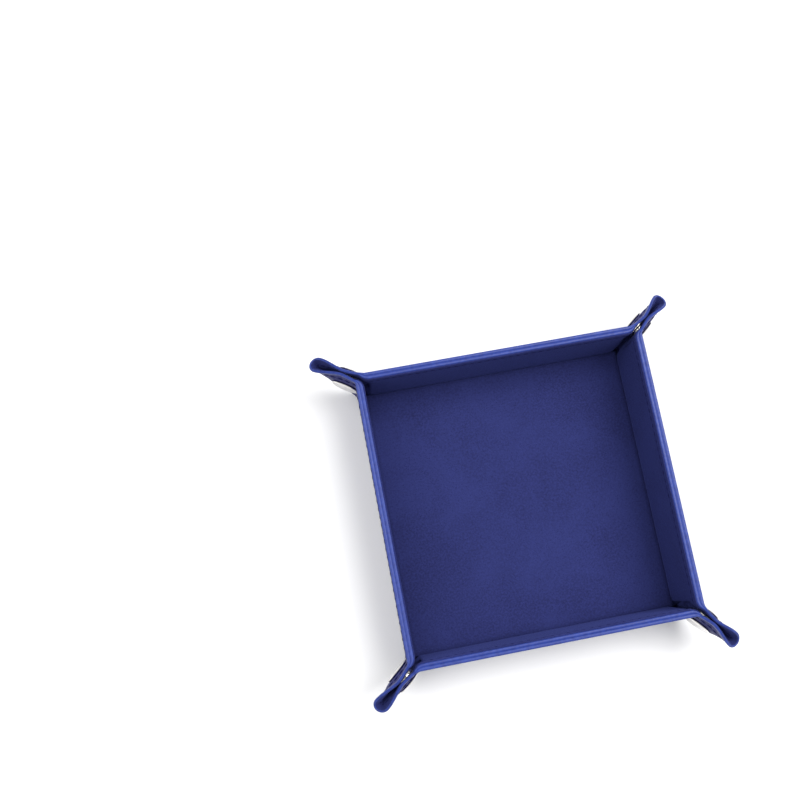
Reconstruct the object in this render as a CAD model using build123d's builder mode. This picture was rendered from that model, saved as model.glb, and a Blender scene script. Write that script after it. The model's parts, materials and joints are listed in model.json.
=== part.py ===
from build123d import *
import math
import os

# Folding snap-corner dice tray, standing with its four walls raised and its corners snapped.
# Millimetres. +Z is up, +Y is the back wall, +X is the right wall, and the origin is under
# the middle of the floor, on the face that the tray stands on.

# Driving dimensions
flat_side = 200.0            # edge to edge when the tray is laid flat
wall_height = 36.0           # from the floor crease to the rim
corner_radius = 38.0         # rounded corner of the flat sheet
lean = 2.0                   # degrees that the raised walls lean outward
leather_thickness = 0.85
board_thickness = 2.1
velvet_thickness = 0.85
crease_gap = 2.0             # from a hinge line to the stiff panels on each side of it
floor_corner_radius = 2.0    # rounded corner of the floor panel
rim_depth = 1.2              # how far the closed rim reaches down the wall
rim_bevel = 0.3              # broken edges of the rim
stitch_inset = 4.0           # from the rim down to the seam
seam_end_gap = 1.0           # from the end of a seam to the end of its wall
thread_width = 0.7
crease_clearance = 0.05      # between a crease and the faces of the panels it joins
crease_end_gap = 0.5         # from the end of a crease to the end of the floor panel

wall_half = 60.9             # half the length of the stiff wall
ear_hinge_offset = 62.8      # from the middle of a wall to the hinge line of its ear
ear_fold = 45.0              # degrees that an ear flap turns outward when its ear is on the diagonal
corner_swing = {             # degrees that each ear leans from the diagonal, anticlockwise from above
    "back_right": -6.5,
    "front_right": -3.0,
    "front_left": -5.0,
    "back_left": 12.0,
}
ear_start = -0.9             # where a flap begins, measured outward from its own hinge line
ear_foot = 2.2               # where a flap begins, measured up from the floor crease
ear_setback = 0.2            # from the cut edge of a flap to the diagonal of the corner

snap_from_hinge = 6.3        # snap centre, outward from the hinge line of an ear on the diagonal
snap_height = 21.8           # snap centre, up from the floor crease
socket_radius = 6.25         # the ring on the socket side
stud_radius = 5.5            # the flange on the stud side
cap_radius = 6.6             # the same cap on both sides
flange_thickness = 0.5
flange_edge = 0.2            # upright part of a flange's rim, below its bevel
flange_bevel = 0.35          # width of that bevel
cap_height = 1.5
cap_edge = 0.6               # upright part of a cap's rim, below its dome
rivet_radius = 1.6
rivet_clearance = 0.05
tube_radius = 0.9            # bore of the tubular rivet in a socket
tube_proud = 0.3             # from the velvet to the end of that rivet
collar_radius = 4.2          # raised collar of a socket
collar_height = 1.5          # from the velvet to the top of the collar
collar_bead = 0.35           # height of the collar's rounded top
socket_bore_radius = 2.85
stud_step_radius = 2.5
stud_step_height = 0.4       # from the flange to the top of the step
ball_radius = 1.6
ball_centre_height = 0.4     # from the velvet to the centre of the ball

# Worked out
hinge_offset = flat_side / 2 - wall_height
panel_thickness = leather_thickness + board_thickness + velvet_thickness
hinge_height = panel_thickness / 2
sheet_half = (leather_thickness + velvet_thickness) / 2
floor_half = hinge_offset - crease_gap
arc_centre = flat_side / 2 - corner_radius

side_names = ["back", "right", "front", "left"]


def corner_name(side, end):
    """Corner that a wall's left end (-1) or right end (+1) belongs to, seen from inside."""
    first = side_names[side]
    second = side_names[(side + end) % 4]
    if first in ("back", "front"):
        return first + "_" + second
    return second + "_" + first


def wall_plane(side):
    """Plane of a raised wall: x along the wall, y up the wall, z towards the inside."""
    turn = -90 * side
    tilt = math.radians(lean)
    origin = Vector(0, hinge_offset, hinge_height).rotate(Axis.Z, turn)
    along = Vector(1, 0, 0).rotate(Axis.Z, turn)
    inward = Vector(0, -math.cos(tilt), math.sin(tilt)).rotate(Axis.Z, turn)
    return Plane(origin=origin, x_dir=along, z_dir=inward)


def section_plane(side):
    """Cross-section of a raised wall: x up the wall, y towards the inside, z along it."""
    wall = wall_plane(side)
    return Plane(origin=wall.origin, x_dir=wall.y_dir, z_dir=wall.x_dir)


def swing_of(side, end):
    """Angle that the ear at one end of a wall leans from the diagonal of its corner."""
    return math.radians(corner_swing[corner_name(side, end)])


def ear_plane(side, end):
    """Middle plane of an ear flap: y along its hinge line, z towards its velvet."""
    wall = wall_plane(side)
    fold = math.radians(ear_fold) + end * swing_of(side, end)
    origin = wall.from_local_coords(Vector(end * ear_hinge_offset, 0, sheet_half - hinge_height))
    along = wall.x_dir * math.cos(fold) - wall.z_dir * (end * math.sin(fold))
    facing = wall.z_dir * math.cos(fold) + wall.x_dir * (end * math.sin(fold))
    return Plane(origin=origin, x_dir=along, z_dir=facing)


def snap_reach(side, end):
    """Snap centre, outward from the hinge line of its own flap, where it meets its other half."""
    tilt = math.radians(lean)
    hinge_out = hinge_offset + (hinge_height - sheet_half) * math.cos(tilt)
    hinge_out += snap_height * math.sin(tilt)
    from_diagonal = (hinge_out - ear_hinge_offset) / math.sqrt(2)
    return snap_from_hinge - end * from_diagonal * math.sin(swing_of(side, end))


def snap_plane(side, end):
    """Radial section of a snap: x across the snap, y along its axis, out of the velvet."""
    ear = ear_plane(side, end)
    centre = ear.from_local_coords(Vector(end * snap_reach(side, end), snap_height, 0))
    return Plane(origin=centre, x_dir=ear.x_dir, z_dir=-ear.y_dir)


def ear_outline(end):
    """Corners of an ear flap: inner foot, inner top, a point of the arc, tip, outer foot."""
    centre_u = arc_centre - ear_hinge_offset
    centre_v = arc_centre - hinge_offset
    edge_shift = hinge_offset - ear_hinge_offset - ear_setback * math.sqrt(2)
    top_angle = math.acos((ear_start - centre_u) / corner_radius)
    mean = (centre_v - centre_u + edge_shift) / 2
    tip_rise = math.sqrt(corner_radius ** 2 / 2 - mean ** 2)
    tip_v = tip_rise + centre_v - mean
    tip_u = tip_v + edge_shift
    tip_angle = math.atan2(tip_v - centre_v, tip_u - centre_u)
    middle_angle = (top_angle + tip_angle) / 2

    def on_arc(angle):
        u = centre_u + corner_radius * math.cos(angle)
        v = centre_v + corner_radius * math.sin(angle)
        return (end * u, v)

    inner_foot = (end * ear_start, ear_foot)
    outer_foot = (end * (ear_foot + edge_shift), ear_foot)
    return inner_foot, on_arc(top_angle), on_arc(middle_angle), on_arc(tip_angle), outer_foot


def save(builder, name):
    """Labels a finished piece and writes it as one STEP file."""
    builder.part.label = name
    export_step(builder.part, "parts/" + name + ".step")


def make_floor():
    """The three layers of the floor panel, from the table up."""
    layers = [
        ("base_leather", 0, leather_thickness),
        ("base_board", leather_thickness, board_thickness),
        ("base_velvet", leather_thickness + board_thickness, velvet_thickness),
    ]
    for name, height, thickness in layers:
        with BuildPart() as layer:
            with BuildSketch(Plane.XY.offset(height)):
                RectangleRounded(2 * floor_half, 2 * floor_half, floor_corner_radius)
            extrude(amount=thickness)
        save(layer, name)


def make_crease(side):
    """The flexible hinge between the floor and one wall, on the hinge line."""
    radius = hinge_height - crease_clearance
    with BuildPart() as crease:
        with BuildSketch(section_plane(side)):
            Circle(radius)
        extrude(amount=floor_half - crease_end_gap, both=True)
    save(crease, side_names[side] + "_crease")


def make_wall(side):
    """Leathercloth with its turned rim, core board, velvet and seam of one raised wall."""
    name = side_names[side]
    outer = -hinge_height
    board_outer = outer + leather_thickness
    board_inner = board_outer + board_thickness
    inner = hinge_height
    rim_foot = wall_height - rim_depth

    with BuildPart() as leather:
        with BuildSketch(section_plane(side)):
            with BuildLine():
                Polyline(
                    (crease_gap, outer),
                    (wall_height - rim_bevel, outer),
                    (wall_height, outer + rim_bevel),
                    (wall_height, inner - rim_bevel),
                    (wall_height - rim_bevel, inner),
                    (rim_foot, inner),
                    (rim_foot, board_outer),
                    (crease_gap, board_outer),
                    close=True,
                )
            make_face()
        extrude(amount=wall_half, both=True)
    save(leather, name + "_wall_leather")

    layers = [("board", board_outer, board_inner), ("velvet", board_inner, inner)]
    for layer_name, low, high in layers:
        with BuildPart() as layer:
            with BuildSketch(section_plane(side)):
                with Locations(((crease_gap + rim_foot) / 2, (low + high) / 2)):
                    Rectangle(rim_foot - crease_gap, high - low)
            extrude(amount=wall_half, both=True)
        save(layer, name + "_wall_" + layer_name)

    seam = wall_height - stitch_inset
    thread_height = thread_width / 3
    with BuildPart() as thread:
        with BuildSketch(section_plane(side)):
            with Locations((seam, outer - thread_height / 2), (seam, inner + thread_height / 2)):
                Rectangle(thread_width, thread_height)
        extrude(amount=wall_half - seam_end_gap, both=True)
    save(thread, name + "_wall_thread")


def make_flap(side, end, prefix):
    """Leathercloth and velvet layers of one ear flap, with the hole for its rivet."""
    inner_foot, inner_top, on_rim, tip, outer_foot = ear_outline(end)
    layers = [("leather", -sheet_half, leather_thickness), ("velvet", 0, velvet_thickness)]
    for layer_name, height, thickness in layers:
        with BuildPart() as layer:
            with BuildSketch(ear_plane(side, end).offset(height)):
                with BuildLine():
                    Line(inner_foot, inner_top)
                    ThreePointArc(inner_top, on_rim, tip)
                    Polyline(tip, outer_foot, inner_foot)
                make_face()
                with Locations((end * snap_reach(side, end), snap_height)):
                    Circle(rivet_radius + rivet_clearance, mode=Mode.SUBTRACT)
            extrude(amount=thickness)
        save(layer, prefix + "_flap_" + layer_name)


def make_socket(side, end, prefix):
    """Female half of a snap: ring on the velvet, domed cap with a tubular rivet outside."""
    plane = snap_plane(side, end)
    axis = Axis(plane.origin, plane.y_dir)
    face = sheet_half
    rim_top = face + flange_thickness
    collar_top = face + collar_height
    collar_shoulder = collar_top - collar_bead
    with BuildPart() as socket:
        with BuildSketch(plane):
            with BuildLine():
                Polyline(
                    (socket_bore_radius, collar_shoulder),
                    (socket_bore_radius, face),
                    (socket_radius, face),
                    (socket_radius, face + flange_edge),
                    (socket_radius - flange_bevel, rim_top),
                    (collar_radius, rim_top),
                    (collar_radius, collar_shoulder),
                )
                ThreePointArc(
                    (collar_radius, collar_shoulder),
                    ((collar_radius + socket_bore_radius) / 2, collar_top),
                    (socket_bore_radius, collar_shoulder),
                )
            make_face()
        revolve(axis=axis)
    save(socket, prefix + "_socket")
    make_cap(side, end, face + tube_proud, tube_radius, prefix + "_socket_cap")


def make_stud(side, end, prefix):
    """Male half of a snap: flange and ball on the velvet, domed cap with its rivet outside."""
    plane = snap_plane(side, end)
    axis = Axis(plane.origin, plane.y_dir)
    face = sheet_half
    flange_top = face + flange_thickness
    step_top = flange_top + stud_step_height
    ball_centre = face + ball_centre_height
    neck = math.sqrt(ball_radius ** 2 - (step_top - ball_centre) ** 2)
    bulge = ball_radius * math.sqrt(0.5)
    with BuildPart() as stud:
        with BuildSketch(plane):
            with BuildLine():
                Polyline(
                    (0, ball_centre + ball_radius),
                    (0, face),
                    (stud_radius, face),
                    (stud_radius, face + flange_edge),
                    (stud_radius - flange_bevel, flange_top),
                    (stud_step_radius, flange_top),
                    (stud_step_radius, step_top),
                    (neck, step_top),
                )
                ThreePointArc(
                    (neck, step_top),
                    (bulge, ball_centre + bulge),
                    (0, ball_centre + ball_radius),
                )
            make_face()
        revolve(axis=axis)
    save(stud, prefix + "_stud")
    make_cap(side, end, face, 0, prefix + "_stud_cap")


def make_cap(side, end, shank_end, shank_bore, name):
    """Domed chrome cap on the leathercloth, with a shank that rivets its snap half."""
    radius = cap_radius
    plane = snap_plane(side, end)
    axis = Axis(plane.origin, plane.y_dir)
    face = -sheet_half
    dome = cap_height - cap_edge
    dome_radius = (radius ** 2 + dome ** 2) / (2 * dome)
    half_angle = math.asin(radius / dome_radius) / 2
    on_dome = (
        dome_radius * math.sin(half_angle),
        face - cap_height + dome_radius * (1 - math.cos(half_angle)),
    )
    with BuildPart() as cap:
        with BuildSketch(plane):
            with BuildLine():
                Polyline((0, face - cap_height), (0, shank_end), (rivet_radius, shank_end))
                Polyline((rivet_radius, shank_end), (rivet_radius, face), (radius, face))
                Line((radius, face), (radius, face - cap_edge))
                ThreePointArc((radius, face - cap_edge), on_dome, (0, face - cap_height))
            make_face()
            if shank_bore > 0:
                bore_depth = shank_end - face
                with Locations((shank_bore / 2, shank_end - bore_depth / 2)):
                    Rectangle(shank_bore, bore_depth, mode=Mode.SUBTRACT)
        revolve(axis=axis)
    save(cap, name)


os.makedirs("parts", exist_ok=True)
make_floor()
for side in range(4):
    make_crease(side)
    make_wall(side)
    stud_corner = corner_name(side, -1)
    make_flap(side, -1, stud_corner + "_stud")
    make_stud(side, -1, stud_corner)
    socket_corner = corner_name(side, 1)
    make_flap(side, 1, socket_corner + "_socket")
    make_socket(side, 1, socket_corner)
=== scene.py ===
"""Folding dice tray of blue leathercloth with a velvet lining, modelled round its CAD frame.

Lengths are millimetres until a mesh is made, and metres after that. A side of the tray is
numbered 0 back, 1 right, 2 front and 3 left. Everything is shaped once, for the back wall and
its right-hand ear, and then mirrored and turned into place.
"""
import json
import math

import bpy
import numpy as np
from mathutils import Matrix, Vector


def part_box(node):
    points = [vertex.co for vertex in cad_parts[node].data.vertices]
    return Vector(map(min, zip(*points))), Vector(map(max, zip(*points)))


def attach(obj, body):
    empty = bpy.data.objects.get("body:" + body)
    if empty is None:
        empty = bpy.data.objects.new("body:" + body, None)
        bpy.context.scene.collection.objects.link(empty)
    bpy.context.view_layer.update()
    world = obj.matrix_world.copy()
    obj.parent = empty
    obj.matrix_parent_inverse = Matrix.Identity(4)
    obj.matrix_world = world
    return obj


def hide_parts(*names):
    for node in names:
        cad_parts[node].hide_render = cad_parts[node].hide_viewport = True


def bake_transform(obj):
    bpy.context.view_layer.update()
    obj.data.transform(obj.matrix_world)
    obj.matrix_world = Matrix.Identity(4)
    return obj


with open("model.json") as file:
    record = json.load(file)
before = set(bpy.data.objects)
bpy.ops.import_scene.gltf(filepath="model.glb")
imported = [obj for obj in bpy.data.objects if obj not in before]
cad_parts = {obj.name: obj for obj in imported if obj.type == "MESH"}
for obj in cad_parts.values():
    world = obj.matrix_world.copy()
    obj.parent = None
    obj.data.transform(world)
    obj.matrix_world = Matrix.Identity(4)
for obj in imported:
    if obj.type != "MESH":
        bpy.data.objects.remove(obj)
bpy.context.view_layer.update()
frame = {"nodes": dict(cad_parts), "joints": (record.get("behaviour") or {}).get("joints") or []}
MM = 0.001
SIDES = ["back", "right", "front", "left"]

# ---------------------------------------------------------------- measured from the frame


def joint_named(name):
    """Place in millimetres, unit axis and whole turn in radians of one joint."""
    found = [j for j in frame["joints"] if j["name"] == name][0]
    return np.array(found["pos_m"]) / MM, np.array(found["axis"]), math.radians(found["range_deg"][1])


hinge, _, _ = joint_named("back_wall_fold")
ear_hinge, ear_axis, ear_turn = joint_named("back_right_socket_ear_fold")
ALONG = np.array([1.0, 0.0, 0.0])
UP = -ear_axis
INWARD = np.cross(ALONG, UP)
EAR_U = (ALONG - INWARD) * math.sqrt(0.5)
EAR_FACING = (ALONG + INWARD) * math.sqrt(0.5)


def node_points(name):
    """Vertices of a CAD node at rest, in millimetres."""
    return np.array([v.co for v in frame["nodes"][name].data.vertices]) / MM


def spread(points, origin, axis):
    """Lowest and highest place of points along an axis from an origin."""
    places = (points - origin) @ axis
    return float(places.min()), float(places.max())


wall_points = node_points("back_wall_leather")
WALL_HEIGHT = spread(wall_points, hinge, UP)[1]
WALL_OUTER, WALL_INNER = spread(wall_points, hinge, INWARD)
WALL_END = spread(wall_points, hinge, ALONG)[1]
PANEL = WALL_INNER - WALL_OUTER
FLOOR_HALF = float(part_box("base_velvet")[1].x) / MM
FLOOR_TOP = float(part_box("base_velvet")[1].z) / MM
HINGE_OUT = float(hinge[1])
CORNER_U = HINGE_OUT - float(ear_hinge[0])        # from an ear's hinge to the fold's apex

# An ear leans from the diagonal by turning round a line midway between its two hinge lines.
# It is shaped on the diagonal first.


def across(point):
    """Mirror image in the diagonal plane of the corner."""
    return point[..., [1, 0, 2]]


LEAN_AT = (ear_hinge + across(ear_hinge)) / 2
LEAN_AXIS = (UP + across(UP)) / np.linalg.norm(UP + across(UP))


def leaned(points, angle):
    """Points turned by an angle, or by one each, about the line that an ear leans round."""
    arm = points - LEAN_AT
    angle = np.asarray(angle, float)[..., None]
    kept = (arm @ LEAN_AXIS)[..., None] * LEAN_AXIS
    turned_arm = (arm - kept) * np.cos(angle) + np.cross(LEAN_AXIS, arm) * np.sin(angle)
    return LEAN_AT + kept + turned_arm


def ear_points(name):
    """Vertices of a CAD node of the back wall's right-hand ear, brought onto the diagonal."""
    return leaned(node_points(name), math.pi / 4 - ear_turn)


EAR_TIP = spread(ear_points("back_right_socket_flap_leather"), ear_hinge, EAR_U)[1]
cap_points = ear_points("back_right_socket_cap")
SNAP_U = sum(spread(cap_points, ear_hinge, EAR_U)) / 2
SNAP_V = sum(spread(cap_points, hinge, UP)) / 2
CAP_RADIUS = spread(cap_points, hinge, UP)[1] - SNAP_V

# ---------------------------------------------------------------- driving dimensions

# Layers of the sheet
LEATHER = 0.85
VELVET = 0.85
EAR_SHEET = LEATHER + VELVET
EAR_EDGE = 1.45           # the pressed and painted edge of an ear

# Where one piece ends and the next begins
SEAM_X = 58.0             # half the length of a wall piece, where an ear piece begins
BOARD_END = WALL_END - 0.5
CORE_END = SEAM_X + 1.6   # half the length of a wall's core board
LINING_RUN = 3.5          # from the floor panel's edge to the edge of its lining piece
CORNER_OVERLAP = 2.0      # how much of that a wall's pieces cover
EAR_FOOT = 1.9            # where an ear begins, up from the crease
CREASE_TOP = 1.85         # where a wall's corner is cut away for the ear
FOOT_RISE = 2.6           # where a wall's core board begins, up from the crease
FOOT_DROP = WALL_HEIGHT - EAR_FOOT
TUCK = 0.11               # share of the thickness that the velvet draws in at a wall's foot
TUCK_TOP = 3.2            # height at which it has its full thickness again

# The painted rim and the velvet that stops below it
LIP = 1.2                 # how far the paint reaches down a wall's inside
EAR_LIP = 0.35            # the same on an ear
RIM_SHARE = 0.86          # share of the thickness that the paint covers, from the outer face
RIM_ROUND = 0.62          # radius of the rim's two edges
RIM_GROOVE = 0.24         # depth of the groove between its two ridges
EAR_GROOVE = 0.14
PILE_TOP = 0.38           # from the rim down to the top of the velvet on a wall
EAR_PILE_TOP = 0.22

# The folded ear
FOLD_ANGLE = math.radians(44.9)   # from an ear's hinge line to the fold, on the flat sheet
DISC_FREE = SNAP_V + 7.0          # above this radius an ear is free of its snap
OPENING = 5.5             # height over which an ear then opens to its free shape
SNAP_MARGIN = 0.1         # from the edge of a snap to the bend that goes round it
JOIN_SOFTNESS = 0.35      # rounding between that bend and the straight one
NECK_AT = 8.2             # along the rim, from the fold's apex to the neck of the ear
NECK_HALF = 1.62          # half the width of the ear there
CORNER_HALF = 2.35        # half the width of the ear at the rim, where it leaves the corner
RIM_REACH = 1.7           # how much longer a wall is at its rim than beside its snap
BULB_HALF = 3.75          # half the width of the rolled fold at the rim
BULB_LENGTH = 1.35        # length of the rolled fold's end, against half its width
FOLD_LAP = 0.004          # overlap of an ear's two halves, against the radius of their fold
PINCH_HALF = 1.95         # half the width of the fold below, where it is pinched flat
CORNER_FREE = (2.5, 10.0)  # heights between which an ear grows out of the rounded corner
TIP_RADIUS = math.hypot(EAR_TIP - CORNER_U, EAR_TIP - CORNER_U)

# How far the bend of a piece reaches from its hinge line when the tray is opened
LEATHER_BEND = 2.7
LINING_BEND = 0.9
EAR_BEND_BACK = 0.6       # where an ear's bend begins, back from the end of its board
EAR_BEND_LENGTH = 3.6

# Snaps and seams
CAP_HEIGHT = 1.5
RIVET_RADIUS = 1.6        # outside of the rivet on a snap cap
RIVET_BORE = 0.9          # inside of a socket's tubular rivet
STITCH_INSET = 4.0        # from the rim down to the seam
STITCH_PITCH = 3.65
STITCH_LENGTH = 2.9
THREAD_RADIUS = 0.33
STITCH_RISE = 0.30        # how far the middle of a stitch arches up
STITCH_SUNK = 0.16        # how far the ends of a stitch lie in the leathercloth
PILE_SUNK = 0.34          # and in the velvet
SEAM_STOP = 0.6           # from the last stitch of an ear to the fold

# ---------------------------------------------------------------- shape of the sheet


def smooth(low, high, value):
    """0 below low, 1 above high, and an even S between them."""
    t = np.clip((value - low) / np.maximum(high - low, 1e-6), 0, 1)
    return t * t * (3 - 2 * t)


def mix(a, b, t):
    """Value or point at a share t of the way from a to b."""
    return a + (b - a) * t


def wall_point(x, v, z):
    """Point of the back wall: x along it, v up it, z towards the inside."""
    x, v, z = (np.asarray(q, float)[..., None] for q in (x, v, z))
    return hinge + x * ALONG + v * UP + z * INWARD


def ear_point(u, v, w):
    """Point of the right-hand ear: u outward from its hinge, v up, w towards its velvet."""
    u, v, w = (np.asarray(q, float)[..., None] for q in (u, v, w))
    return ear_hinge + u * EAR_U + v * UP + w * EAR_FACING


def plane_gap(u, v):
    """Distance from the outer face of the flat ear to the diagonal plane of the corner."""
    p = ear_point(u, v, -EAR_SHEET / 2)
    return (p[..., 1] - p[..., 0]) * math.sqrt(0.5)


def ear_axes(run, r):
    """Outward and up places on the ear of a point a length run along the circle r."""
    angle = np.maximum(run, 0) / r
    return (CORNER_U + np.minimum(run, 0) + r * np.sin(angle), r * np.cos(angle))


def join_run(r):
    """Where the bend beside the wall ends, which goes round the edge of the snap."""
    disc = CAP_RADIUS + SNAP_MARGIN
    chord = np.sqrt(np.maximum(disc ** 2 - (r - SNAP_V) ** 2, 0))
    free = np.minimum(3.0 - CORNER_U, 0.3 * r)
    beside = SNAP_U - chord - 0.15 - CORNER_U
    return -JOIN_SOFTNESS * np.logaddexp(-free / JOIN_SOFTNESS, -beside / JOIN_SOFTNESS)


def fold_shape(r):
    """Outer radius of the rolled fold, how far it has its free shape, and its middle."""
    free = smooth(DISC_FREE, DISC_FREE + OPENING, r)
    pinched = PINCH_HALF * np.tanh(0.62 * FOLD_ANGLE * r / PINCH_HALF)
    radius = mix(pinched, BULB_HALF * r / TIP_RADIUS, free)
    centre = FOLD_ANGLE * r - radius * mix(1, BULB_LENGTH, free)
    return radius, free, centre


def half_width(run, r):
    """Distance from an ear's outer face to its middle plane, up to where the fold rolls."""
    u, v = ear_axes(run, r)
    gap = plane_gap(u, v)
    radius, free, centre = fold_shape(r)
    start = join_run(r)
    from_snap = np.hypot(u - SNAP_U, v - SNAP_V) - CAP_RADIUS - 0.3
    clear = np.maximum(np.minimum(from_snap, run - start), 0)
    to_fold = np.maximum(centre - run, 0)
    pinched = mix(gap, radius, clear ** 2 / (clear ** 2 + to_fold ** 2 + 1e-6))
    before = np.clip((run - start) / np.maximum(NECK_AT - start, 0.1), 0, 1)
    into_neck = mix(CORNER_HALF, NECK_HALF, 1 - (1 - before) ** 1.4)
    q = np.clip((run - NECK_AT) / np.maximum(centre - NECK_AT, 0.1), 0, 1)
    swell = 0.6 * smooth(0, 1, q) + 0.4 * np.sin(q * math.pi / 2)
    open_shape = np.where(run < NECK_AT, into_neck, mix(NECK_HALF, radius, swell))
    return mix(pinched, open_shape, free)


def ear_at(run, r, width):
    """Point a length run along the circle r, at a distance width from the middle plane."""
    u, v = ear_axes(run, r)
    w = plane_gap(u, v) - width - EAR_SHEET / 2
    return ear_point(u, v, w)


def wall_end(r):
    """Where the straight part of a wall ends at a height r from the crease."""
    return BOARD_END + RIM_REACH * smooth(DISC_FREE - 0.5, DISC_FREE + OPENING, r)


def ear_surface(c, r):
    """Outer face of the sheet. c is 0 to 1 along the wall, to 2 round the bend beside it,
    to 3 along the ear and to 4 round the rolled fold; r is the height from the crease."""
    c, r = np.broadcast_arrays(np.asarray(c, float), np.asarray(r, float))
    on_wall = wall_point(mix(SEAM_X, wall_end(r), c), r, WALL_OUTER)

    join = join_run(r)
    step = 0.05
    end = ear_at(join, r, half_width(join, r))
    beyond = ear_at(join + step, r, half_width(join + step, r))
    start = wall_point(wall_end(r), r, WALL_OUTER)
    t = np.clip(c - 1, 0, 1)[..., None]
    reach = np.linalg.norm(end - start, axis=-1, keepdims=True)
    end_way = (beyond - end) / np.linalg.norm(beyond - end, axis=-1, keepdims=True)
    on_bend = ((2 * t ** 3 - 3 * t ** 2 + 1) * start + (t ** 3 - 2 * t ** 2 + t) * reach * ALONG
               + (3 * t ** 2 - 2 * t ** 3) * end + (t ** 3 - t ** 2) * reach * end_way)

    radius, _, centre = fold_shape(r)
    run = mix(join, centre, np.clip(c - 2, 0, 1))
    on_run = ear_at(run, r, half_width(run, r))

    angle = math.pi / 2 * (4 - c) - FOLD_LAP * (c - 3)
    length = FOLD_ANGLE * r - centre
    on_curl = ear_at(centre + length * np.cos(angle), r, radius * np.sin(angle))
    zone = np.clip(np.floor(c), 0, 3)[..., None]
    ear = np.select([zone < 1, zone < 2, zone < 3], [on_wall, on_bend, on_run], on_curl)

    t = np.clip((c - 1) / 3, 0, 1)[..., None]
    corner = ear_at(FOLD_ANGLE * r, r, -FOLD_LAP * radius)
    reach = 0.9 * np.linalg.norm(corner - start, axis=-1, keepdims=True)
    rounded = ((2 * t ** 3 - 3 * t ** 2 + 1) * start + (t ** 3 - 2 * t ** 2 + t) * reach * ALONG
               + (3 * t ** 2 - 2 * t ** 3) * corner + (t ** 3 - t ** 2) * reach * EAR_FACING)
    rounded = np.where(c[..., None] < 1, on_wall, rounded)
    return mix(rounded, ear, smooth(*CORNER_FREE, r)[..., None])


def ear_normal(c, r):
    """Unit normal of the outer face, towards the velvet."""
    step = 0.01
    side = ear_surface(c + step, r) - ear_surface(c - step, r)
    rise = ear_surface(c, r + step) - ear_surface(c, r - step)
    n = np.cross(side, rise)
    return n / np.linalg.norm(n, axis=-1, keepdims=True) * np.sign(np.cross(ALONG, UP) @ INWARD)


def ear_rim(c):
    """Height of the rim above the crease, which falls along the rounded corner."""
    q = np.clip((c - 1.6) / 2.2, 0, 1)
    return WALL_HEIGHT - (WALL_HEIGHT - TIP_RADIUS) * (1 - (1 - q) ** 2)


def ear_thickness(c, r):
    """Thickness of the whole sheet: board and all on the wall, two layers on the ear."""
    radius, free, _ = fold_shape(r)
    ear = mix(EAR_SHEET, EAR_EDGE, free)
    rolled = smooth(2.4, 3, c) * smooth(*CORNER_FREE, r)
    ear = np.minimum(ear, mix(ear, 0.72 * radius, rolled))
    return mix(PANEL, ear, smooth(0.7, 1.9, c))


def ear_place(c, drop, depth_share, lean):
    """Point a height drop below the rim, at a share of the thickness from the outer face, of
    an ear that leans by an angle from the diagonal."""
    rim = ear_rim(c)
    r = EAR_FOOT + (rim - EAR_FOOT) * (1 - drop / (WALL_HEIGHT - EAR_FOOT))
    depth = ear_thickness(c, r) * depth_share
    upright = ear_surface(c, r) + ear_normal(c, r) * depth[..., None]
    return leaned(upright, lean * smooth(0.9, 2.1, c) * smooth(EAR_FOOT, 8, r))


def wall_place(x, drop, depth_share):
    """The same for the wall between its ears."""
    return wall_point(x, WALL_HEIGHT - drop, WALL_OUTER + PANEL * depth_share)


def rim_drop(share, thickness, groove):
    """Profile of the painted rim: two rounded ridges with a groove between them."""
    corner = np.minimum(RIM_ROUND, 0.45 * thickness)
    inset = np.maximum(np.abs(share - 0.5) * thickness - (thickness / 2 - corner), 0) / corner
    rounded = corner * (1 - np.sqrt(np.maximum(1 - inset ** 2, 0)))
    ridges = 0.09 * (1 + np.cos(4 * math.pi * share)) * (inset <= 0)
    return rounded + groove * np.exp(-((share - 0.5) / 0.07) ** 2) + ridges * groove


# ---------------------------------------------------------------- mesh building


def turned(points, side, mirrored=False):
    """Points of the back wall's right-hand half, moved to another side or end."""
    p = np.array(points, float)
    if mirrored:
        p[..., 0] *= -1
    turn = -math.pi / 2 * side
    c, s = math.cos(turn), math.sin(turn)
    return np.stack([p[..., 0] * c - p[..., 1] * s, p[..., 0] * s + p[..., 1] * c, p[..., 2]], -1)


def make_piece(name, vertices, faces, face_slots, materials, sharp=50):
    """Mesh object in metres with smooth shading, its slots filled with materials."""
    mesh = bpy.data.meshes.new(name)
    mesh.from_pydata((np.asarray(vertices).reshape(-1, 3) * MM).tolist(), [], faces)
    for material in materials:
        mesh.materials.append(material)
    mesh.polygons.foreach_set("material_index", face_slots)
    mesh.validate()
    mesh.shade_smooth()
    mesh.set_sharp_from_angle(angle=math.radians(sharp))
    piece = bpy.data.objects.new(name, mesh)
    bpy.context.scene.collection.objects.link(piece)
    return piece


def loop_faces(columns, points, flipped):
    """Faces of a closed outline swept through columns, with a face across each end."""
    faces = []
    for i in range(columns - 1):
        for j in range(points):
            k = (j + 1) % points
            face = [i * points + j, i * points + k, (i + 1) * points + k, (i + 1) * points + j]
            faces.append(face[::-1] if flipped else face)
    first = list(range(points))
    last = [(columns - 1) * points + j for j in range(points)]
    faces.append(first if flipped else first[::-1])
    faces.append(last[::-1] if flipped else last)
    return faces


def swept(name, grid, slots, materials, side, mirrored):
    """Closed piece from a grid of columns of outline points, with a slot for each point."""
    columns, points = grid.shape[:2]
    flipped = not mirrored
    faces = loop_faces(columns, points, flipped)
    face_slots = list(slots) * (columns - 1) + [slots[0], slots[0]]
    return make_piece(name, turned(grid, side, mirrored), faces, face_slots, materials)


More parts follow.
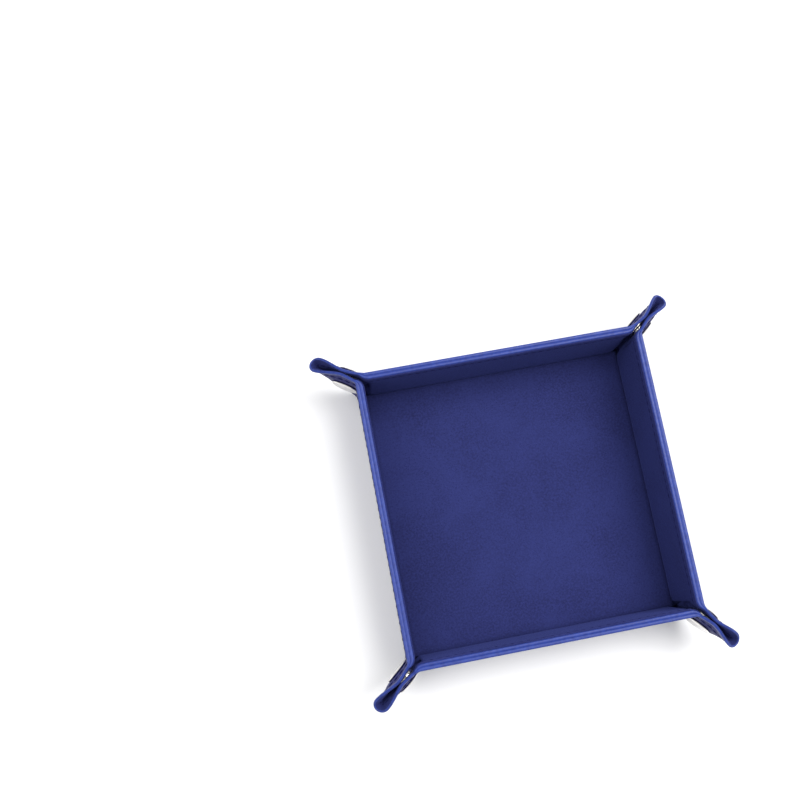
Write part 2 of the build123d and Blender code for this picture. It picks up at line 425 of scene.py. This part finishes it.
# Rows of a face, as distances below the rim: the low ones, and then those round the seam, which
# lie closer together. The rows over the rim are shares of its thickness.
LOW_DROPS = np.concatenate([np.linspace(33.5, 7, 22), [6.2, 5.7]])
FACE_DROPS = np.array([5.2, 4.8, 4.5, 4.25, 4.0, 3.75, 3.5, 3.2, 2.8, 2.2, 1.6, 1.1])
RIM_SHARES = (1 - np.cos(np.linspace(0, math.pi, 23))) / 2


def seam_dip(drop):
    """How far the stitches pull a face in, in millimetres."""
    return 0.16 * np.exp(-((drop - STITCH_INSET) / 0.42) ** 2)


# ---------------------------------------------------------------- ears


def pile_edge(place):
    """Unevenness of the velvet's top edge at a place along the rim."""
    return 0.09 * math.sin(5.1 * place) + 0.07 * math.sin(9.7 * place + 1.3)


def velvet_outline(top, lip, thickness):
    """Drops and shares round the velvet's section: face, rounded top, back, and back below."""
    face = np.concatenate([[FOOT_DROP], LOW_DROPS, FACE_DROPS])
    board = np.clip((thickness - EAR_SHEET) / (PANEL - EAR_SHEET), 0, 1)
    tuck = TUCK * board * (1 - smooth(EAR_FOOT, TUCK_TOP, WALL_HEIGHT - face))
    front = 1 - seam_dip(face) / thickness - tuck
    pile = 1 - RIM_SHARE
    edge_drops = [top + 0.5, top + 0.15, top, top + 0.08, lip]
    edge_shares = [1, 1 - 0.10 * pile, 1 - 0.45 * pile, RIM_SHARE + 0.006, RIM_SHARE + 0.006]
    behind = 1 - min(VELVET / thickness, 0.5)
    back = np.concatenate([[lip], LOW_DROPS[::-3], [FOOT_DROP]])
    drops = np.concatenate([face, edge_drops, back])
    shares = np.concatenate([front, edge_shares, np.full(len(back), behind)])
    return drops, shares


EAR_COLUMNS = np.concatenate([
    np.linspace(0, 1, 5)[:-1],
    np.linspace(1, 2, 15)[:-1],
    np.linspace(2, 3, 37)[:-1],
    np.linspace(3, 4, 17),
])


def ear_leather_grid(lean):
    """Leathercloth of an ear: outer face, painted rim, and the hidden face behind."""
    columns = []
    for c in EAR_COLUMNS:
        thickness = float(ear_thickness(c, ear_rim(c)))
        on_ear = float(smooth(0.8, 2.0, c))
        lip = mix(LIP, EAR_LIP, on_ear)
        behind = min(LEATHER / thickness, 0.5)
        face = np.concatenate([[FOOT_DROP], LOW_DROPS, FACE_DROPS])
        rim = rim_drop(RIM_SHARES, thickness * RIM_SHARE, mix(RIM_GROOVE, EAR_GROOVE, on_ear))
        back = np.concatenate([[lip, lip], LOW_DROPS[::-3], [FOOT_DROP]])
        drops = np.concatenate([face, rim, back])
        shares = np.concatenate([
            seam_dip(face) / thickness,
            RIM_SHARES * RIM_SHARE,
            [RIM_SHARE],
            np.full(len(back) - 1, behind),
        ])
        columns.append(ear_place(np.full(len(drops), c), drops, shares, lean))
    slots = [0] * (len(face) - 2) + [1] * (len(rim) + 2) + [0] * (len(back))
    return np.array(columns), slots[:len(drops)]


def ear_velvet_grid(lean):
    """Velvet of an ear, from the foot up behind the painted rim."""
    columns = []
    for c in EAR_COLUMNS:
        thickness = float(ear_thickness(c, ear_rim(c)))
        on_ear = float(smooth(0.8, 2.0, c))
        lip = mix(LIP, EAR_LIP, on_ear) + 0.02
        top = mix(PILE_TOP, EAR_PILE_TOP, on_ear) + pile_edge(SEAM_X + 9 * c)
        drops, shares = velvet_outline(top, lip, thickness)
        columns.append(ear_place(np.full(len(drops), c), drops, shares, lean))
    return np.array(columns), [0] * len(drops)


# ---------------------------------------------------------------- walls

WALL_COLUMNS = np.linspace(-1, 1, 185)
DOWN = np.array([0.0, 0.0, -1.0])
LEAN_ANGLE = math.acos(float(UP @ -DOWN))


def round_crease(radius, count):
    """Section points round the hinge, from the wall's outer side to under the floor."""
    angles = np.linspace(0, math.pi / 2 - LEAN_ANGLE, count)
    return [hinge - radius * (math.cos(a) * INWARD + math.sin(a) * UP) for a in angles]


def under_floor(z):
    """Section point under the floor's edge, where the pieces of a wall end."""
    return np.array([0, FLOOR_HALF - LINING_RUN + CORNER_OVERLAP, z])


def wall_section(drop, depth):
    """Section point of the wall a height drop below the rim, at a depth from the outer face."""
    return wall_point(0, WALL_HEIGHT - drop, WALL_OUTER + depth)


def spread_columns(section, limits):
    """Columns of a section, each point reaching to its own limit along the wall."""
    section = np.array(section, float)
    grid = np.repeat(section[None], len(WALL_COLUMNS), axis=0)
    grid[:, :, 0] = WALL_COLUMNS[:, None] * np.array(limits)[None]
    return grid


def limits_of(section, is_wall):
    """A wall ends at the seam of its ear; a crease ends on the diagonal of its corner."""
    return [SEAM_X if on_wall else float(p[1]) - 0.04 for p, on_wall in zip(section, is_wall)]


def wall_leather_grid():
    """Leathercloth of a wall: under the floor's edge, round the crease, up and over the rim."""
    face = np.concatenate([[FOOT_DROP], LOW_DROPS, FACE_DROPS])
    cut = WALL_HEIGHT - CREASE_TOP
    lower = [under_floor(0)] + round_crease(-WALL_OUTER, 9)[::-1]
    lower += [wall_section(cut, 0)]
    upper = [wall_section(d, seam_dip(d)) for d in face]
    painted = PANEL * RIM_SHARE
    rim = rim_drop(RIM_SHARES, painted, RIM_GROOVE)
    upper += [wall_section(d, s * painted) for d, s in zip(rim, RIM_SHARES)]
    upper += [wall_section(LIP, painted)]
    upper += [wall_section(d, LEATHER) for d in [LIP, *LOW_DROPS[::-3], FOOT_DROP]]
    behind = [wall_section(cut, LEATHER)]
    behind += round_crease(-WALL_OUTER - LEATHER, 9) + [under_floor(LEATHER)]
    section = lower + upper + behind
    is_wall = [False] * len(lower) + [True] * len(upper) + [False] * len(behind)
    slots = [0] * (len(lower) + len(face) - 2) + [1] * (len(rim) + 2)
    slots += [0] * (len(section) - len(slots))
    return spread_columns(section, limits_of(section, is_wall)), slots


def wall_velvet_grid():
    """Velvet of a wall, tucked into the crease and reaching a little way over the floor."""
    drops, shares = velvet_outline(PILE_TOP, LIP + 0.02, PANEL)
    floor_end = np.array([0, FLOOR_HALF - LINING_RUN + CORNER_OVERLAP, FLOOR_TOP])

    def by_hinge(y, z):
        return hinge + np.array([0, y, z])

    valley = [floor_end, by_hinge(-2.4, 1.76), by_hinge(-1.75, 1.38), by_hinge(-0.80, 0.80)]
    valley += [by_hinge(-1.38, CREASE_TOP - 0.1)]
    tuck = [by_hinge(-1.48, EAR_FOOT), by_hinge(-1.74, 2.5)]
    sheet = [wall_section(d, s * PANEL) for d, s in zip(drops, shares) if d < FOOT_DROP - 1.5]
    sheet += [by_hinge(-0.95, 2.5), by_hinge(-0.80, EAR_FOOT)]
    behind = [by_hinge(-0.72, CREASE_TOP - 0.1), by_hinge(-0.3, 0.3), by_hinge(-1.5, 0.62)]
    behind += [floor_end - np.array([0, 0, VELVET])]
    section = valley + tuck + sheet + behind
    is_wall = [False] * len(valley) + [True] * (len(tuck) + len(sheet)) + [False] * len(behind)
    grid = spread_columns(section, limits_of(section, is_wall))
    for column in grid:
        near_rim = smooth(WALL_HEIGHT - PILE_TOP - 0.2, WALL_HEIGHT - PILE_TOP, (column - hinge) @ UP)
        column -= UP * (near_rim * pile_edge(float(column[-1, 0])))[:, None]
    return grid, [0] * len(section)


def wall_core_grid():
    """Core board of a wall, with its corners and ends softly rounded."""
    low, high = WALL_OUTER + LEATHER + 0.03, WALL_INNER - VELVET - 0.03
    foot, head, soft = FOOT_RISE, WALL_HEIGHT - LIP - 0.6, 0.35
    angles = np.radians([0, 30, 60, 90])
    rows = []
    for inset in (soft, 0.12, 0, 0, 0.12, soft):
        centre_v, centre_z = (foot + head) / 2, (low + high) / 2
        half_v, half_z = (head - foot) / 2 - inset - soft, (high - low) / 2 - inset - soft
        ring = []
        for quarter, (way_v, way_z) in enumerate(((1, 1), (-1, 1), (-1, -1), (1, -1))):
            for a in angles if quarter % 2 == 0 else angles[::-1]:
                ring.append((centre_v + way_v * (half_v + soft * math.cos(a)),
                             centre_z + way_z * (half_z + soft * math.sin(a))))
        rows.append(ring)
    ends = [-CORE_END, -CORE_END + 0.12, -CORE_END + soft]
    ends += [-e for e in ends[::-1]]
    grid = [[wall_point(x, v, z) for v, z in ring] for x, ring in zip(ends, rows)]
    return np.array(grid), [0] * len(rows[0])


# ---------------------------------------------------------------- stitches


def stitch(place, start, end, outward):
    """One stitch between two places of a seam, diving into the sheet at its ends. On the
    velvet it lies deeper, down in the pile."""
    rings, sides = 9, 7
    t = np.linspace(0, 1, rings)
    rise = STITCH_RISE * np.sin(math.pi * t) ** 0.6 - (STITCH_SUNK if outward else PILE_SUNK)
    radius = THREAD_RADIUS * (0.45 + 0.55 * np.sin(math.pi * t) ** 0.5)
    around = np.linspace(0, 2 * math.pi, sides, endpoint=False)
    along = mix(start, end, t)[:, None] + 0 * around[None]
    drop = STITCH_INSET + radius[:, None] * np.cos(around)[None]
    height = rise[:, None] + radius[:, None] * np.sin(around)[None]
    return place(along, drop, outward, height)


def stitches_piece(name, place, marks, side, mirrored, materials):
    """All stitches of one piece, on its outer and inner face, between pairs of marks."""
    vertices, faces = [], []
    for outward in (True, False):
        for start, end in marks:
            ring = stitch(place, start, end, outward)
            rows, points = ring.shape[:2]
            base = sum(len(v) for v in vertices)
            vertices.append(ring.reshape(-1, 3))
            flipped = outward != mirrored
            for face in loop_faces(rows, points, flipped):
                faces.append([base + i for i in face])
    grid = turned(np.concatenate(vertices), side, mirrored)
    return make_piece(name, grid, faces, [0] * len(faces), materials, sharp=60)


def on_wall_face(x, drop, outward, height):
    """Place on a wall's face, a height out from it."""
    depth = -height + seam_dip(drop) if outward else PANEL + height - seam_dip(drop)
    return wall_place(x, drop, depth / PANEL)


def ear_arc():
    """Length along an ear's seam against the column coordinate."""
    c = np.linspace(0, 4, 801)
    points = ear_place(c, np.full_like(c, STITCH_INSET), np.zeros_like(c), 0)
    steps = np.linalg.norm(np.diff(points, axis=0), axis=1)
    return c, np.concatenate([[0], np.cumsum(steps)])


def on_ear_face(lean):
    """Function that gives the place on an ear's face, a height out from it."""
    def place(c, drop, outward, height):
        thickness = ear_thickness(c, ear_rim(c) - STITCH_INSET)
        dip = seam_dip(drop)
        share = (dip - height) / thickness if outward else 1 + (height - dip) / thickness
        return ear_place(c, drop, share, lean)
    return place


def stitch_marks(low, high, count):
    """Starts and ends of evenly spaced stitches between two lengths of a seam."""
    pitch = (high - low) / count
    centres = low + (np.arange(count) + 0.5) * pitch
    half = pitch * STITCH_LENGTH / STITCH_PITCH / 2
    return [(m - half, m + half) for m in centres]


# ---------------------------------------------------------------- floor panel


def floor_slab(name, low, high, material, crown=0.0, cells=72):
    """Slab of the floor panel; its top is softly uneven and meets the crease at full height."""
    half = FLOOR_HALF - LINING_RUN + CORNER_OVERLAP - 0.01
    places = np.linspace(-half, half, cells + 1)
    x, y = np.meshgrid(places, places, indexing="ij")
    edge = np.clip((half - np.maximum(np.abs(x), np.abs(y))) / 6, 0, 1)
    swell = np.sin(x / 17 + 0.6) * np.cos(y / 23 + 1.1) + 0.6 * np.sin((x + 1.4 * y) / 11)
    top = np.stack([x, y, high + crown * edge * edge * swell], -1)
    bottom = np.stack([x, y, np.full_like(x, low)], -1)
    count = cells + 1
    faces = []
    for i in range(cells):
        for j in range(cells):
            a = i * count + j
            faces.append([a, a + count, a + count + 1, a + 1])
            faces.append([q + count * count for q in (a, a + 1, a + count + 1, a + count)])
    rim = [(i, 0) for i in range(cells)] + [(cells, j) for j in range(cells)]
    rim += [(i, cells) for i in range(cells, 0, -1)] + [(0, j) for j in range(cells, 0, -1)]
    for (i, j), (p, q) in zip(rim, rim[1:] + rim[:1]):
        a, b = i * count + j, p * count + q
        faces.append([b, a, a + count * count, b + count * count])
    vertices = np.concatenate([top.reshape(-1, 3), bottom.reshape(-1, 3)])
    return make_piece(name, vertices, faces, [0] * len(faces), [material])


# ---------------------------------------------------------------- materials


def srgb(red, green, blue):
    """Linear colour of an 8-bit display colour."""
    def linear(value):
        s = value / 255
        return s / 12.92 if s <= 0.04045 else ((s + 0.055) / 1.055) ** 2.4
    return (linear(red), linear(green), linear(blue), 1.0)


class Nodes:
    """A material with small helpers for its node tree; texture scales are per millimetre."""

    def __init__(self, name, **settings):
        self.material = bpy.data.materials.new(name)
        self.material.use_nodes = True
        self.tree = self.material.node_tree
        self.shader = self.tree.nodes["Principled BSDF"]
        for key, value in settings.items():
            self.shader.inputs[key.replace("_", " ")].default_value = value
        where = self.tree.nodes.new("ShaderNodeTexCoord")
        scale = self.tree.nodes.new("ShaderNodeMapping")
        scale.inputs["Scale"].default_value = (1 / MM,) * 3
        self.link(where.outputs["Object"], scale.inputs["Vector"])
        self.place = scale.outputs["Vector"]

    def link(self, source, target):
        self.tree.links.new(source, target)

    def noise(self, per_mm, detail=3.0, roughness=0.55, distortion=0.0):
        node = self.tree.nodes.new("ShaderNodeTexNoise")
        node.inputs["Scale"].default_value = per_mm
        node.inputs["Detail"].default_value = detail
        node.inputs["Roughness"].default_value = roughness
        node.inputs["Distortion"].default_value = distortion
        self.link(self.place, node.inputs["Vector"])
        return node.outputs["Fac"]

    def cells(self, per_mm):
        node = self.tree.nodes.new("ShaderNodeTexVoronoi")
        node.inputs["Scale"].default_value = per_mm
        self.link(self.place, node.inputs["Vector"])
        return node.outputs["Distance"]

    def wave(self, per_mm, distortion):
        node = self.tree.nodes.new("ShaderNodeTexWave")
        node.bands_direction = "DIAGONAL"
        node.inputs["Scale"].default_value = per_mm
        node.inputs["Distortion"].default_value = distortion
        self.link(self.place, node.inputs["Vector"])
        return node.outputs["Fac"]

    def remap(self, value, low, high, out_low, out_high):
        node = self.tree.nodes.new("ShaderNodeMapRange")
        for key, number in (("From Min", low), ("From Max", high),
                            ("To Min", out_low), ("To Max", out_high)):
            node.inputs[key].default_value = number
        self.link(value, node.inputs["Value"])
        return node.outputs["Result"]

    def blend(self, share, first, second):
        node = self.tree.nodes.new("ShaderNodeMix")
        node.data_type = "RGBA"
        for socket, colour in ((node.inputs[6], first), (node.inputs[7], second)):
            if isinstance(colour, tuple):
                socket.default_value = colour
            else:
                self.link(colour, socket)
        self.link(share, node.inputs[0])
        return node.outputs[2]

    def add(self, first, second, weight):
        node = self.tree.nodes.new("ShaderNodeMath")
        node.operation = "MULTIPLY_ADD"
        self.link(second, node.inputs[0])
        node.inputs[1].default_value = weight
        self.link(first, node.inputs[2])
        return node.outputs[0]

    def bump(self, height, strength, depth):
        node = self.tree.nodes.new("ShaderNodeBump")
        node.inputs["Strength"].default_value = strength
        node.inputs["Distance"].default_value = depth * MM
        self.link(height, node.inputs["Height"])
        self.link(node.outputs["Normal"], self.shader.inputs["Normal"])

    def colour(self, output):
        self.link(output, self.shader.inputs["Base Color"])

    def roughness(self, output):
        self.link(output, self.shader.inputs["Roughness"])


def velvet_material():
    """Short navy pile: mottled where it has been brushed, with a pale bloom at its edges."""
    m = Nodes("velvet_pile", Sheen_Weight=0.22, Sheen_Roughness=0.5,
              Sheen_Tint=srgb(110, 124, 220), Specular_IOR_Level=0.08)
    brushed = m.remap(m.noise(0.03, 4, 0.6, 0.6), 0.38, 0.62, 0, 1)
    ground = m.blend(brushed, srgb(33, 36, 76), srgb(41, 46, 94))
    mottled = m.remap(m.noise(1.1, 6, 0.85), 0.38, 0.62, 0, 1)
    tufted = m.blend(mottled, ground, srgb(47, 53, 109))
    specks = m.remap(m.noise(2.2, 3, 0.85), 0.54, 0.66, 0, 0.8)
    m.colour(m.blend(specks, tufted, srgb(22, 22, 54)))
    m.roughness(m.remap(m.noise(2.2, 2), 0.3, 0.7, 0.82, 1.0))
    height = m.add(m.noise(4.5, 3, 0.7), m.noise(1.1, 3, 0.6), 0.8)
    m.bump(height, 0.55, 0.12)
    return m.material


def leather_material():
    """Blue leathercloth with a fine pebbled grain, its creases painted darker as painted shade."""
    m = Nodes("leathercloth_grain", Specular_IOR_Level=0.2)
    cells = m.cells(1.25)
    creases = m.remap(cells, 0.0, 0.55, 0.0, 1.0)
    tone = m.blend(m.remap(m.noise(0.05, 3), 0.35, 0.65, 0, 1), srgb(30, 32, 96), srgb(36, 39, 112))
    # painted shade: the grain's creases, which the bump lowers, are darkened towards srgb(22, 23, 74)
    m.colour(m.blend(m.remap(creases, 0.25, 1.0, 0, 0.5), tone, srgb(22, 23, 74)))
    m.roughness(m.remap(m.noise(0.7, 4), 0.3, 0.7, 0.45, 0.62))
    height = m.add(m.remap(creases, 0, 1, 1, 0), m.noise(3.0, 3), 0.35)
    m.bump(height, 0.6, 0.10)
    return m.material


def edge_material():
    """Thick edge paint: paler than the leathercloth, with drips of uneven cover."""
    m = Nodes("painted_edge", Specular_IOR_Level=0.35)
    streaks = m.remap(m.noise(0.55, 4, 0.6), 0.35, 0.65, 0, 1)
    tone = m.blend(streaks, srgb(33, 50, 122), srgb(43, 63, 142))
    m.colour(m.blend(m.remap(m.noise(3.0, 3), 0.58, 0.75, 0, 0.5), tone, srgb(33, 39, 110)))
    m.roughness(m.remap(m.noise(1.2, 3), 0.3, 0.7, 0.34, 0.5))
    height = m.add(m.noise(0.9, 3), m.noise(4.0, 2), 0.25)
    m.bump(height, 0.5, 0.10)
    return m.material


def thread_material():
    """Twisted polyester sewing thread, the grooves of its twist painted darker as painted shade."""
    m = Nodes("sewing_thread", Specular_IOR_Level=0.15)
    twist = m.wave(0.9, 1.5)
    # painted shade: the twist's grooves, which the bump lowers, are darker than its raised plies
    m.colour(m.blend(twist, srgb(18, 20, 60), srgb(28, 32, 92)))
    m.roughness(m.remap(m.noise(3.0, 2), 0.3, 0.7, 0.65, 0.85))
    m.bump(m.add(twist, m.noise(6.0, 2), 0.4), 0.5, 0.08)
    return m.material


def chrome_material():
    """Plated snap: bright, with faint wear and fine polishing marks."""
    m = Nodes("plated_snap", Metallic=1.0)
    wear = m.remap(m.noise(0.35, 3, 0.5), 0.45, 0.65, 0, 1)
    m.colour(m.blend(wear, srgb(228, 226, 223), srgb(212, 210, 206)))
    m.roughness(m.remap(m.noise(2.0, 4, 0.7), 0.35, 0.7, 0.12, 0.26))
    m.bump(m.noise(0.5, 2, 0.5), 0.2, 0.04)
    return m.material


def board_material():
    """Grey core board, fibrous."""
    m = Nodes("core_board", Specular_IOR_Level=0.2)
    m.colour(m.blend(m.noise(0.8, 6, 0.7), srgb(128, 120, 108), srgb(170, 160, 146)))
    m.roughness(m.remap(m.noise(1.5, 3), 0.3, 0.7, 0.8, 0.95))
    m.bump(m.noise(2.5, 5, 0.7), 0.5, 0.1)
    return m.material


VELVET_PILE = velvet_material()
LEATHERCLOTH = leather_material()
EDGE_PAINT = edge_material()
THREAD = thread_material()
CHROME = chrome_material()
BOARD = board_material()

# ---------------------------------------------------------------- assembly


def corner_name(side, end):
    """Corner at a wall's left end (-1) or right end (+1), seen from inside the tray."""
    first, second = SIDES[side], SIDES[(side + end) % 4]
    if first in ("back", "front"):
        return first + "_" + second
    return second + "_" + first


def add_wall(side):
    """Leathercloth, lining, core board and stitches of one wall."""
    name = SIDES[side] + "_wall"
    middle = turned(hinge, side)
    diagonal = turned(np.array([0, math.sqrt(0.5), math.sqrt(0.5)]), side)

    def bend(piece, reach):
        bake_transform(piece)

    grid, slots = wall_leather_grid()
    leather = swept(name + "_leathercloth", grid, slots, [LEATHERCLOTH, EDGE_PAINT], side, False)
    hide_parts(name + "_leather", SIDES[side] + "_crease")
    bend(leather, LEATHER_BEND)

    grid, slots = wall_velvet_grid()
    lining = swept(name + "_lining", grid, slots, [VELVET_PILE], side, False)
    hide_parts(name + "_velvet")
    bend(lining, LINING_BEND)

    grid, slots = wall_core_grid()
    core = swept(name + "_core", grid, slots, [BOARD], side, False)
    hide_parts(name + "_board")
    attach(core, name)

    count = round(2 * SEAM_X / STITCH_PITCH)
    marks = stitch_marks(-SEAM_X, SEAM_X, count)
    seam = stitches_piece(name + "_stitches", on_wall_face, marks, side, False, [THREAD])
    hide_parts(name + "_thread")
    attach(seam, name)


def lathed(name, profile, centre, axis, material, count=56):
    """Closed solid turned about an axis from a profile of (radius, height out) points, the
    first and last on the axis. Lengths in millimetres."""
    axis = axis / np.linalg.norm(axis)
    side_way = np.cross(axis, [0, 0, 1.0])
    side_way /= np.linalg.norm(side_way)
    other = np.cross(axis, side_way)
    angles = np.linspace(0, 2 * math.pi, count, endpoint=False)
    vertices = [centre + axis * profile[0][1]]
    for radius, out in profile[1:-1]:
        for a in angles:
            spoke = side_way * math.cos(a) + other * math.sin(a)
            vertices.append(centre + axis * out + radius * spoke)
    vertices.append(centre + axis * profile[-1][1])
    rings, last = len(profile) - 2, len(vertices) - 1
    faces = []
    for j in range(count):
        k = (j + 1) % count
        faces.append([0, 1 + j, 1 + k])
        for i in range(rings - 1):
            a, b = 1 + i * count, 1 + (i + 1) * count
            faces.append([a + j, b + j, b + k, a + k])
        end = 1 + (rings - 1) * count
        faces.append([last, end + k, end + j])
    return make_piece(name, vertices, faces, [0] * len(faces), [material], sharp=40)


# Outline of a snap cap, as depths below its top: a low dome with a shallow groove round it,
# against the radius, and then the rolled edge, against the distance in from the edge.
CAP_TOP = [(0, 0.0), (1.2, 0.01), (2.4, 0.05), (3.4, 0.13), (4.1, 0.24), (4.5, 0.36),
           (4.8, 0.42), (5.1, 0.38), (5.5, 0.30), (5.9, 0.32)]
CAP_RIM = [(0.35, 0.42), (0.12, 0.58), (0.0, 0.80), (0.05, 1.02), (0.22, 1.18), (0.55, 1.26)]
CAP_UNDERCUT = 0.85


def add_cap(node, body, facing):
    """Pressed cap with a rolled edge, a shallow groove and a low dome, for one CAD cap, on
    the rivet that holds its snap half. The rivet of a socket is a tube."""
    points = node_points(node)
    way = -facing
    foot, top = spread(points, np.zeros(3), way)
    seat = top - CAP_HEIGHT
    rivet_end = foot - seat
    centre = (points.min(axis=0) + points.max(axis=0)) / 2
    centre = centre + way * (seat - centre @ way)
    profile = [(radius, CAP_HEIGHT - drop) for radius, drop in CAP_TOP]
    profile += [(CAP_RADIUS - inset, CAP_HEIGHT - drop) for inset, drop in CAP_RIM]
    profile += [(CAP_RADIUS - CAP_UNDERCUT, 0.0), (RIVET_RADIUS, 0.0)]
    profile += [(RIVET_RADIUS, rivet_end + 0.1), (RIVET_RADIUS - 0.1, rivet_end)]
    if "socket" in node:
        profile += [(RIVET_BORE + 0.1, rivet_end), (RIVET_BORE, rivet_end + 0.15)]
        profile += [(RIVET_BORE, 0.0), (0, 0)]
    else:
        profile += [(0, rivet_end)]
    cap = lathed(node + "_shell", profile, centre, way, CHROME)
    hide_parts(node)
    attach(cap, body)


def add_ear(side, end):
    """Leathercloth, lining, snap cap and stitches of one half of a corner's folded ear."""
    kind = "stud" if end < 0 else "socket"
    name = corner_name(side, end) + "_" + kind
    wall, body = SIDES[side] + "_wall", name + "_ear"
    mirrored = end < 0
    _, _, turn = joint_named(body + "_fold")
    lean = turn - math.pi / 4
    way = ALONG * math.cos(turn / 2) - INWARD * math.sin(turn / 2)
    low = turned(hinge + ALONG * (BOARD_END - EAR_BEND_BACK) + UP * SNAP_V, side, mirrored) * MM
    high = low + turned(way, side, mirrored) * EAR_BEND_LENGTH * MM

    def bend(piece):
        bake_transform(piece)

    grid, slots = ear_leather_grid(lean)
    leather = swept(name + "_ear_leathercloth", grid, slots, [LEATHERCLOTH, EDGE_PAINT], side, mirrored)
    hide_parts(name + "_flap_leather")
    bend(leather)

    grid, slots = ear_velvet_grid(lean)
    lining = swept(name + "_ear_lining", grid, slots, [VELVET_PILE], side, mirrored)
    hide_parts(name + "_flap_velvet")
    bend(lining)

    facing = (ALONG * math.sin(turn) + INWARD * math.cos(turn))
    add_cap(name + "_cap", body, turned(facing, side, mirrored))

    columns, lengths = ear_arc()
    last = float(lengths[-1]) - SEAM_STOP
    count = round(last / STITCH_PITCH)
    marks = [tuple(np.interp(m, lengths, columns)) for m in stitch_marks(0, last, count)]
    place = on_ear_face(lean)
    seam = stitches_piece(name + "_ear_stitches", place, marks, side, mirrored, [THREAD])
    bend(seam)


floor_leather = floor_slab("floor_leathercloth", 0.0, LEATHER, LEATHERCLOTH)
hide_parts("base_leather")
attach(floor_leather, "base")
floor_lining = floor_slab("floor_lining", FLOOR_TOP - VELVET, FLOOR_TOP, VELVET_PILE, crown=0.07)
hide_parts("base_velvet")
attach(floor_lining, "base")

for side in range(4):
    add_wall(side)
    add_ear(side, -1)
    add_ear(side, 1)

for node, piece in frame["nodes"].items():
    if node.endswith("_board"):
        piece.data.materials.clear()
        piece.data.materials.append(BOARD)
    if node.endswith(("_socket", "_stud")):
        piece.data.materials.clear()
        piece.data.materials.append(CHROME)

# ---------------------------------------------------------------- room, light and camera


def add_floor():
    """Pale floor that the tray stands on."""
    mesh = bpy.data.meshes.new("studio_floor")
    size = 4.0
    corners = [(-size, -size, 0), (size, -size, 0), (size, size, 0), (-size, size, 0)]
    mesh.from_pydata(corners, [], [(0, 1, 2, 3)])
    m = Nodes("studio_paper", Specular_IOR_Level=0.1, Roughness=0.95)
    m.colour(m.blend(m.noise(0.002, 2), (0.90, 0.90, 0.90, 1), (0.92, 0.92, 0.92, 1)))
    mesh.materials.append(m.material)
    floor = bpy.data.objects.new("studio_floor", mesh)
    bpy.context.scene.collection.objects.link(floor)


def add_light(name, place, aim, size, power):
    """Square soft box at a place in metres, turned towards a point."""
    light = bpy.data.lights.new(name, "AREA")
    light.size = size
    light.energy = power
    box = bpy.data.objects.new(name, light)
    box.location = place
    way = Vector(aim) - Vector(place)
    box.rotation_mode = "QUATERNION"
    box.rotation_quaternion = way.to_track_quat("-Z", "Y")
    bpy.context.scene.collection.objects.link(box)


def add_camera(place, aim, turn, lens):
    """Camera at a place, looking at a point, with its top turned clockwise from +Y."""
    camera = bpy.data.cameras.new("camera")
    camera.lens = lens
    camera.sensor_width = 36
    holder = bpy.data.objects.new("camera", camera)
    bpy.context.scene.collection.objects.link(holder)
    forward = (Vector(aim) - Vector(place)).normalized()
    top = Vector((math.sin(math.radians(turn)), math.cos(math.radians(turn)), 0))
    right = forward.cross(top).normalized()
    up = right.cross(forward)
    axes = Matrix((right, up, -forward)).transposed()
    holder.matrix_world = Matrix.Translation(Vector(place)) @ axes.to_4x4()
    bpy.context.scene.camera = holder


add_floor()
add_light("key", (0.62, 0.22, 1.25), (0, 0, 0), 0.95, 20)
add_light("fill", (-0.7, 0.10, 1.2), (0, 0, 0), 1.1, 9)
world = bpy.data.worlds.new("studio")
world.use_nodes = True
world.node_tree.nodes["Background"].inputs["Color"].default_value = (1, 1, 1, 1)
world.node_tree.nodes["Background"].inputs["Strength"].default_value = 0.55
bpy.context.scene.world = world
bpy.context.scene.view_settings.view_transform = "Standard"
add_camera((-0.0881, -0.0309, 0.5363), (-0.0457, 0.0581, 0), 10.74, 50.56)
